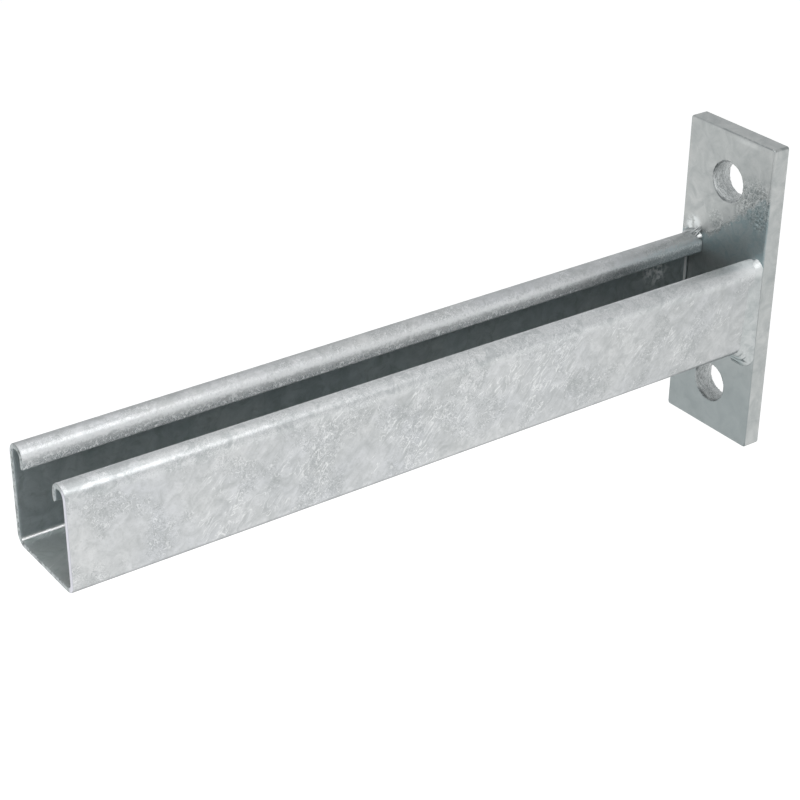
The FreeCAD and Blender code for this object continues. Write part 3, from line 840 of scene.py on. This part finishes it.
def plate_marks(tree, in_mm, colour, metallic):
    """Marks on the flat bar: a blue-grey patch over the joint, crackle, painted shade low down, on the
    rounded edges and at the holes' rims, and torn hole walls.
    """
    apart = add(tree, "ShaderNodeSeparateXYZ", None, {0: in_mm})
    x, y, z = apart.outputs["X"], apart.outputs["Y"], apart.outputs["Z"]
    on_front = band(tree, x, 7.2, 7.8)
    # Painted shade: the front darkened towards the bottom, below the arm
    low_shade = band(tree, z, 10.0, -50.0)
    colour = stained(tree, colour, "#8f9798", low_shade, on_front, 0.85)

    wander = add(tree, "ShaderNodeTexNoise", None, {
        "Vector": in_mm, "Scale": 1.0 / 4.0, "Detail": 5.0, "Roughness": 0.65})
    rim_height = add(tree, "ShaderNodeMapRange", None, {
        "Value": y, "From Min": -8.0, "From Max": 20.0, "To Min": 18.0, "To Max": 44.0})
    ragged_rim = add(tree, "ShaderNodeMath", {"operation": "MULTIPLY_ADD"}, {
        0: wander, 1: 14.0, 2: rim_height})
    under_rim = add(tree, "ShaderNodeMath", {"operation": "SUBTRACT"}, {0: ragged_rim, 1: z})
    blotches = add(tree, "ShaderNodeTexNoise", None, {
        "Vector": in_mm, "Scale": 1.0 / 3.0, "Detail": 4.0, "Roughness": 0.6, "Distortion": 0.8})
    blue = product(tree, band(tree, under_rim, 6.0, 8.2), band(tree, z, 8.0, 16.0), on_front,
                   band(tree, blotches, 0.38, 0.58, 1.0, 0.6))
    colour = stained(tree, colour, "#84979b", blue, 0.85)
    chalky = add(tree, "ShaderNodeMath", {"operation": "MULTIPLY_ADD"}, {0: blue, 1: -0.3, 2: 1.0})
    metallic = product(tree, chalky, metallic)

    colour = stained(tree, colour, "#9fa3a3", band(tree, z, 25.0, 60.0), on_front, 0.2)
    crackle_noise = add(tree, "ShaderNodeTexNoise", None, {
        "Vector": in_mm, "Scale": 1.0 / 1.7, "Detail": 3.0, "Roughness": 0.6, "Distortion": 1.4})
    in_patches = add(tree, "ShaderNodeMath", {"operation": "MAXIMUM"}, {
        0: around(tree, in_mm, CRACKLE_BY_HOLE, 6.0, 13.0),
        1: around(tree, in_mm, CRACKLE_ON_SEAM, 3.0, 6.5, 0.7)})
    along_rim = product(tree, band(tree, under_rim, 4.2, 5.6), band(tree, under_rim, 8.4, 7.0),
                        band(tree, z, 14.0, 18.0, 0.0, 0.8))
    crackled = add(tree, "ShaderNodeMath", {"operation": "MAXIMUM"}, {0: in_patches, 1: along_rim})
    crackled = product(tree, crackled, on_front)
    colour = stained(tree, colour, "#5c6869", crackled, thin_lines(tree, crackle_noise, 0.05), 0.8)
    colour = stained(tree, colour, "#d3d7d7", crackled, band(tree, crackle_noise, 0.56, 0.66), 0.5)

    spatter = product(tree, around(tree, in_mm, SPATTER, 2.5, 5.5), band(tree, blotches, 0.4, 0.55))
    colour = stained(tree, colour, "#e4e8e8", spatter, on_front, 0.8)

    under_top_edge = product(tree, band(tree, z, 62.6, 63.8), band(tree, z, 65.2, 64.7))
    smear_run = product(tree, band(tree, y, -2.0, 6.0), band(tree, y, 18.0, 13.0))
    colour = stained(tree, colour, "#d8dbda", under_top_edge, smear_run, on_front, 0.3)

    # Painted shade along the rounded edges, heaviest at the bottom and broken along the top
    edge = add(tree, "ShaderNodeAttribute", {"attribute_name": "edge_round"}).outputs["Fac"]
    broken = product(
        tree, band(tree, y, -9.0, -4.0), band(tree, blotches, 0.4, 0.52), band(tree, z, 64.0, 65.2), 0.5)
    edge_shade_share = add(tree, "ShaderNodeMath", {"operation": "MAXIMUM"}, {
        0: band(tree, z, -62.0, -65.0, 0.15, 0.6), 1: broken})
    colour = stained(tree, colour, "#6b7273", band(tree, edge, 1.14, 1.36), edge_shade_share)

    stretched = add(tree, "ShaderNodeVectorMath", {"operation": "MULTIPLY"}, {
        0: in_mm, 1: (1.3, 0.28, 0.28)})
    torn = add(tree, "ShaderNodeTexNoise", None, {
        "Vector": stretched, "Scale": 1.0 / 0.9, "Detail": 4.0, "Roughness": 0.7})
    for hole in (upper_hole, lower_hole):
        axis = add(tree, "ShaderNodeVectorMath", {"operation": "SUBTRACT"}, {
            0: in_mm, 1: (0.0, 0.0, hole / MM)})
        flat = add(tree, "ShaderNodeVectorMath", {"operation": "MULTIPLY"}, {0: axis, 1: (0.0, 1.0, 1.0)})
        radius = add(tree, "ShaderNodeVectorMath", {"operation": "LENGTH"}, {0: flat}).outputs["Value"]
        wall = product(tree, band(tree, radius, 8.9, 8.4), band(tree, x, 8.1, 7.6))
        colour = stained(tree, colour, "#d3d6d6", wall, 0.9)
        bare = add(tree, "ShaderNodeMath", {"operation": "SUBTRACT"}, {0: 1.0, 1: product(tree, wall, 0.7)})
        metallic = product(tree, bare, metallic)
        on_wall = band(tree, radius, 9.0, 8.6)
        colour = stained(tree, colour, "#5d6566", on_wall, thin_lines(tree, torn, 0.05), 0.7)
        from_axis = add(tree, "ShaderNodeSeparateXYZ", None, {0: flat})
        aslant = add(tree, "ShaderNodeMath", {"operation": "SUBTRACT"}, {
            0: from_axis.outputs["Z"], 1: from_axis.outputs["Y"]})
        # Painted shade at the hole's rim: dark arcs at the upper left and the bottom, broken by the torn
        # noise
        rim_shade_part = add(tree, "ShaderNodeMath", {"operation": "MAXIMUM"}, {
            0: band(tree, aslant, 8.0, 10.5), 1: band(tree, from_axis.outputs["Z"], -4.5, -7.0)})
        on_rim = product(
            tree, band(tree, radius, 7.6, 8.1), band(tree, radius, 8.9, 8.5), band(tree, x, 6.6, 7.4))
        rim_shade = product(tree, rim_shade_part, band(tree, torn, 0.4, 0.55, 0.4, 1.0))
        colour = stained(tree, colour, "#4c5253", on_rim, rim_shade, 0.75)
    return colour, metallic


def cut_edge_marks(tree, in_mm, colour, metallic):
    """The sawn end, with painted shade along the sheet's two arrises."""
    rim = add(tree, "ShaderNodeAttribute", {"attribute_name": "rim"}).outputs["Fac"]
    apart = add(tree, "ShaderNodeSeparateXYZ", None, {0: in_mm})
    near_side = band(tree, apart.outputs["Y"], 16.5, 18.5)
    colour = stained(tree, colour, "#dedde6", near_side, 0.75)
    nicks = add(tree, "ShaderNodeTexNoise", None, {
        "Vector": in_mm, "Scale": 1.0 / 1.6, "Detail": 3.0, "Roughness": 0.65})
    far_side = band(tree, apart.outputs["Y"], 16.0, 10.0)
    colour = stained(tree, colour, "#5a6162", far_side, band(tree, nicks, 0.48, 0.6), 0.7)
    # Painted shade along both arrises of the sawn end
    return stained(tree, colour, "#5f6668", band(tree, rim, 0.38, 0.48), 0.45), metallic


def weld_marks(tree, in_mm, colour, metallic):
    """Marks on the beads: frost on the near one's top end, painted shade below, and painted shade in the
    gaps between runs.
    """
    apart = add(tree, "ShaderNodeSeparateXYZ", None, {0: in_mm})
    y, z = apart.outputs["Y"], apart.outputs["Z"]
    frost = product(tree, band(tree, y, 8.0, 11.0), band(tree, z, 11.0, 15.0))
    colour = stained(tree, colour, "#dde0e0", frost, 0.7)
    # Painted shade: the bead's underside darkened below the channel
    under = product(tree, band(tree, z, -23.6, -25.0), band(tree, y, 20.5, 17.0))
    colour = stained(tree, colour, "#8d9899", under, 0.8)
    for height, first, last in RUN_GAPS:
        off_gap = add(tree, "ShaderNodeMath", {"operation": "SUBTRACT"}, {0: z, 1: height})
        distance = add(tree, "ShaderNodeMath", {"operation": "ABSOLUTE"}, {0: off_gap})
        gap = band(tree, distance, 0.25, 0.7, 1.0, 0.0)
        gap_run = product(
            tree, band(tree, y, first - 1.0, first + 1.0), band(tree, y, last + 1.0, last - 1.0))
        # Painted shade in the gaps between the bead's runs
        colour = stained(tree, colour, "#4a5355", gap, gap_run, 0.85)
    bare = add(tree, "ShaderNodeMath", {"operation": "MULTIPLY_ADD"}, {0: frost, 1: -0.65, 2: 1.0})
    return colour, product(tree, bare, metallic)


def studio():
    """Pale floor, white surroundings that light it a little less from overhead, and three soft lamps."""
    world = bpy.data.worlds.new("studio")
    bpy.context.scene.world = world
    world.use_nodes = True
    tree = world.node_tree
    tree.nodes.clear()
    direction = add(tree, "ShaderNodeTexCoord").outputs["Generated"]
    upward = add(tree, "ShaderNodeSeparateXYZ", None, {0: direction}).outputs["Z"]
    strength = band(tree, upward, 0.05, 0.45, WALL_STRENGTH, SKY_STRENGTH)
    soft = add(tree, "ShaderNodeBackground", None, {"Color": linear("#f4f5f6"), "Strength": strength})
    white = add(tree, "ShaderNodeBackground", None, {"Color": linear("#ffffff"), "Strength": 1.0})
    seen = add(tree, "ShaderNodeLightPath").outputs["Is Camera Ray"]
    backdrop = add(tree, "ShaderNodeMixShader", None, {0: seen, 1: soft, 2: white})
    add(tree, "ShaderNodeOutputWorld", None, {"Surface": backdrop})

    floor_z = plate_low.z - FLOOR_DROP
    corners = [(x * FLOOR_REACH, y * FLOOR_REACH, floor_z) for x, y in ((-1, -1), (1, -1), (1, 1), (-1, 1))]
    mesh = bpy.data.meshes.new("floor")
    mesh.from_pydata(corners, [], [(0, 1, 2, 3)])
    floor = bpy.data.objects.new("floor", mesh)
    bpy.context.scene.collection.objects.link(floor)
    paper = bpy.data.materials.new("matt_white_floor")
    paper.use_nodes = True
    tree = paper.node_tree
    tree.nodes.clear()
    rays = add(tree, "ShaderNodeLightPath")
    seen = add(tree, "ShaderNodeMath", {"operation": "MAXIMUM"}, {
        0: rays.outputs["Is Camera Ray"], 1: rays.outputs["Is Glossy Ray"]})
    seen = add(tree, "ShaderNodeMath", {"operation": "MAXIMUM"}, {
        0: seen, 1: rays.outputs["Is Transmission Ray"]})
    lit = add(tree, "ShaderNodeBsdfPrincipled", None, {"Base Color": linear("#f2f2f1"), "Roughness": 0.9})
    glow = add(tree, "ShaderNodeEmission", None, {
        "Color": linear("#ffffff"), "Strength": product(tree, seen, FLOOR_GLOW)})
    both = add(tree, "ShaderNodeAddShader", None, {0: lit, 1: glow})
    add(tree, "ShaderNodeOutputMaterial", None, {"Surface": both})
    mesh.materials.append(paper)

    # Each lamp's name, place, width and height in metres, and power in watts; all face the arm's middle
    target = Vector((0.12, 0.0, 0.0))
    lamps = [
        ("side_softbox", (0.1, 0.5, 0.66), 0.22, 0.5, 1.5),
        ("front_softbox", (1.3, 0.5, 0.6), 1.0, 1.0, 3.0),
        ("top_softbox", (0.2, -0.3, 1.5), 1.2, 1.2, 4.0),
    ]
    for name, place, width, height, power in lamps:
        lamp = bpy.data.lights.new(name, "AREA")
        lamp.shape = "RECTANGLE"
        lamp.size = width
        lamp.size_y = height
        lamp.energy = power
        stand = bpy.data.objects.new(name, lamp)
        stand.location = place
        stand.rotation_euler = (Vector(place) - target).to_track_quat("Z", "Y").to_euler()
        bpy.context.scene.collection.objects.link(stand)


def camera():
    """The photograph's viewpoint, with its lens and slight roll."""
    azimuth = math.radians(CAMERA_AZIMUTH)
    elevation = math.radians(CAMERA_ELEVATION)
    out = math.cos(elevation)
    back = Vector((math.sin(azimuth) * out, -math.cos(azimuth) * out, math.sin(elevation)))
    lens = bpy.data.cameras.new("photo_view")
    lens.sensor_width = SENSOR_MM
    lens.lens = CAMERA_LENS_MM
    lens.clip_start = 0.01
    lens.clip_end = 50.0
    view = bpy.data.objects.new("photo_view", lens)
    view.location = CAMERA_PLACE
    level = back.to_track_quat("Z", "Y")
    view.rotation_euler = (level @ Quaternion((0.0, 0.0, 1.0), math.radians(CAMERA_ROLL))).to_euler()
    bpy.context.scene.collection.objects.link(view)
    bpy.context.scene.camera = view


# Hot-dip zinc on rolled strut: bright mottled grey with pale runs, for every outside face of the channel
channel_outside = zinc("hot_dip_zinc_on_rolled_strut", {
    "pale": "#d3d4d4", "cool": "#cdcfd2", "dark": "#b2b5b5", "roughness": 0.4, "metallic": 1.0,
    "cloud_mm": 34.0, "mottle_mm": 6.0, "speckle_mm": 0.9, "speckle": 0.45, "relief_mm": 0.09}, strut_marks)
# Zinc inside the channel drained slowly and stayed dull, so it reads as dark slate in the shade
channel_inside = zinc("dull_hot_dip_zinc_inside_strut", {
    "pale": "#c9cfd0", "cool": "#c0c9cc", "dark": "#9fa8aa", "roughness": 0.36, "metallic": 0.85,
    "cloud_mm": 30.0, "mottle_mm": 9.0, "speckle_mm": 1.1, "speckle": 0.2, "relief_mm": 0.04}, inside_marks)
# Sawn end and sheared lip edges, dipped after cutting: greyer and rougher, with painted shade along both
# arrises
channel_cut_edge = zinc("hot_dip_zinc_on_sawn_edge", {
    "pale": "#c3c7ca", "cool": "#b6bdbb", "dark": "#8d9395", "roughness": 0.42, "metallic": 1.0,
    "cloud_mm": 9.0, "mottle_mm": 2.5, "speckle_mm": 0.7, "speckle": 0.4, "relief_mm": 0.08}, cut_edge_marks)
# Zinc on thick flat bar grows an even alloy layer: greyer and more matt than on the strut
plate_zinc = zinc("matt_hot_dip_zinc_on_flat_bar", {
    "pale": "#c0c2c1", "cool": "#b9bcbb", "dark": "#a1a6a6", "roughness": 0.42, "metallic": 1.0,
    "cloud_mm": 28.0, "mottle_mm": 7.0, "speckle_mm": 1.0, "speckle": 0.2, "relief_mm": 0.05}, plate_marks)
# Weld metal under zinc: smooth, rounded and the brightest of the finishes
weld_zinc = zinc("bright_hot_dip_zinc_on_weld", {
    "pale": "#c0c3c3", "cool": "#b8bcbc", "dark": "#a3a9a9", "roughness": 0.36, "metallic": 1.0,
    "cloud_mm": 12.0, "mottle_mm": 3.0, "speckle_mm": 0.8, "speckle": 0.25, "relief_mm": 0.06}, weld_marks)

channel = strut_channel(channel_outside, channel_inside, channel_cut_edge)
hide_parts("strut_channel")
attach(channel, "root")

plate = back_plate(plate_zinc)
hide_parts("back_plate")
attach(plate, "root")

near_sizes = weld_sizes(
    shoulder_wrap=85.0, side=1.0, lean=1.0, slimming=0.5, crown=-0.2 * MM, end_length=2.0 * MM)
near_bead = weld_bead("near_weld_bead", weld_zinc, near_sizes, [])
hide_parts("right_weld")
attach(near_bead, "root")

# The curls at the far bead's top end: where each starts and ends, and how thick it is
far_curls = [
    ((13.2 * MM, -17.6 * MM, 17.3 * MM), (10.6 * MM, -14.0 * MM, 17.0 * MM), 0.4 * MM),
    ((11.4 * MM, -15.6 * MM, 17.4 * MM), (8.4 * MM, -13.2 * MM, 20.8 * MM), 0.5 * MM),
    ((10.8 * MM, -13.6 * MM, 16.4 * MM), (8.4 * MM, -12.4 * MM, 19.8 * MM), 0.45 * MM),
]
far_sizes = weld_sizes(
    shoulder_wrap=150.0, side=-1.0, lean=0.0, slimming=0.35, crown=0.2 * MM, end_length=1.8 * MM)
far_bead = weld_bead("far_weld_bead", weld_zinc, far_sizes, far_curls)
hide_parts("left_weld")
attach(far_bead, "root")

studio()
camera()
bpy.context.scene.view_settings.view_transform = "Standard"
